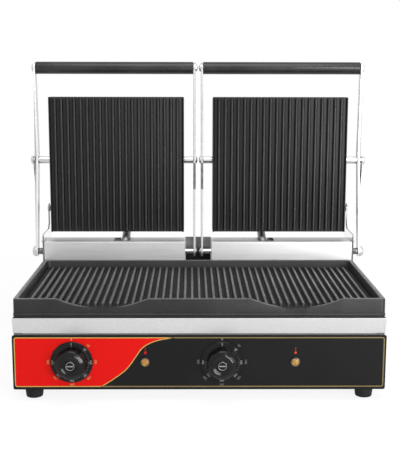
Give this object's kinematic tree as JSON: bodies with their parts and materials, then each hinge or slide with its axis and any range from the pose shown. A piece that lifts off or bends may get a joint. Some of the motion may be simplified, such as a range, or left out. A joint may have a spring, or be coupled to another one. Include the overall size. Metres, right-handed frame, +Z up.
{
  "type": "contact grill",
  "caption": "Countertop double contact grill: stainless body, ribbed cast plate with drip drawer, two hinged ribbed upper plates on lifting arms with tube handles, and knobs with lamps",
  "frame": {"origin": "centre of the bounding box seen from above, on the surface that the feet stand on", "axes": "+X to the user's right along the front, -Y towards the user, +Z up"},
  "size_m": [0.5702, 0.398, 0.476],
  "materials": {
    "casing_steel": "fine brushed stainless sheet",
    "galvanised_sheet": "dull galvanised sheet",
    "cast_iron": "dark enamelled casting, slightly rough",
    "panel_black": "satin black with a red field and a gold line",
    "knob_plastic": "glossy black with a light scale",
    "black_plastic": "satin black grip",
    "rubber": "matt black rubber",
    "chrome": "bright turned steel",
    "arm_steel": "brushed flat bar",
    "spring_steel": "plain spring steel",
    "element_steel": "heat darkened element sheath",
    "conduit_metal": "ribbed metal hose",
    "amber_lens": "faceted amber lens"
  },
  "bodies": {
    "base": {"base_shell": "casing_steel", "bottom_cover": "galvanised_sheet", "foot_front_left": "rubber", "foot_front_right": "rubber", "foot_rear_left": "rubber", "foot_rear_right": "rubber", "control_panel": "panel_black", "lower_plate": "cast_iron", "lower_element_left": "element_steel", "lower_element_right": "element_steel", "heat_shield": "galvanised_sheet", "thermostat_left": "galvanised_sheet", "thermostat_right": "galvanised_sheet", "lamp_bezel_left": "chrome", "lamp_bezel_right": "chrome", "lamp_lens_left": "amber_lens", "lamp_lens_right": "amber_lens", "hinge_housing_left": "casing_steel", "hinge_housing_right": "casing_steel", "centre_channel": "casing_steel", "side_bracket_left": "casing_steel", "side_bracket_right": "casing_steel", "stop_pin_left": "rubber", "stop_pin_right": "rubber", "counter_spring_left": "spring_steel", "counter_spring_right": "spring_steel", "conduit_left": "conduit_metal", "conduit_right": "conduit_metal", "cord_gland": "black_plastic"},
    "drip_tray": {"drip_tray": "casing_steel"},
    "knob_left": {"knob_left": "knob_plastic", "knob_spindle_left": "spring_steel"},
    "bail_left": {"arm_outer_left": "arm_steel", "arm_inner_left": "arm_steel", "handle_grip_left": "black_plastic", "handle_rod_left": "chrome", "hinge_shaft_left": "chrome", "hinge_spacer_left": "chrome", "tilt_leaf_left": "spring_steel"},
    "upper_left": {"upper_plate_left": "cast_iron", "upper_cover_left": "casing_steel", "upper_element_left": "element_steel", "pivot_stud_outer_left": "chrome", "pivot_stud_inner_left": "chrome", "conduit_elbow_left": "chrome"},
    "knob_right": {"knob_right": "knob_plastic", "knob_spindle_right": "spring_steel"},
    "bail_right": {"arm_outer_right": "arm_steel", "arm_inner_right": "arm_steel", "handle_grip_right": "black_plastic", "handle_rod_right": "chrome", "hinge_shaft_right": "chrome", "hinge_spacer_right": "chrome", "tilt_leaf_right": "spring_steel"},
    "upper_right": {"upper_plate_right": "cast_iron", "upper_cover_right": "casing_steel", "upper_element_right": "element_steel", "pivot_stud_outer_right": "chrome", "pivot_stud_inner_right": "chrome", "conduit_elbow_right": "chrome"}
  },
  "joints": [
    {"name": "bail_left_swing", "type": "hinge", "parent": "base", "child": "bail_left", "pos_m": [0, 0.11341, 0.1581], "axis": [1, 0, 0], "range_deg": [0, 100.59], "deforming": ["conduit_left"]},
    {"name": "plate_left_tilt", "type": "hinge", "parent": "bail_left", "child": "upper_left", "pos_m": [0, 0.14319, 0.31072], "axis": [1, 0, 0], "range_deg": [-9.85, 0]},
    {"name": "knob_left_turn", "type": "hinge", "parent": "base", "child": "knob_left", "pos_m": [-0.179, -0.17789, 0.0579], "axis": [0, 1, 0], "range_deg": [0, 270]},
    {"name": "bail_right_swing", "type": "hinge", "parent": "base", "child": "bail_right", "pos_m": [0, 0.11341, 0.1581], "axis": [1, 0, 0], "range_deg": [0, 100.59], "deforming": ["conduit_right"]},
    {"name": "plate_right_tilt", "type": "hinge", "parent": "bail_right", "child": "upper_right", "pos_m": [0, 0.14319, 0.31072], "axis": [1, 0, 0], "range_deg": [-9.85, 0]},
    {"name": "knob_right_turn", "type": "hinge", "parent": "base", "child": "knob_right", "pos_m": [0.0317, -0.17789, 0.0579], "axis": [0, 1, 0], "range_deg": [0, 270]},
    {"name": "drip_tray_slide", "type": "slide", "parent": "base", "child": "drip_tray", "axis": [0, -1, 0], "range_m": [0, 0.17]}
  ],
  "couplings": [
    {"joint": "plate_left_tilt", "follows": "bail_left_swing", "ratio": -0.0974},
    {"joint": "plate_right_tilt", "follows": "bail_right_swing", "ratio": -0.0974}
  ]
}
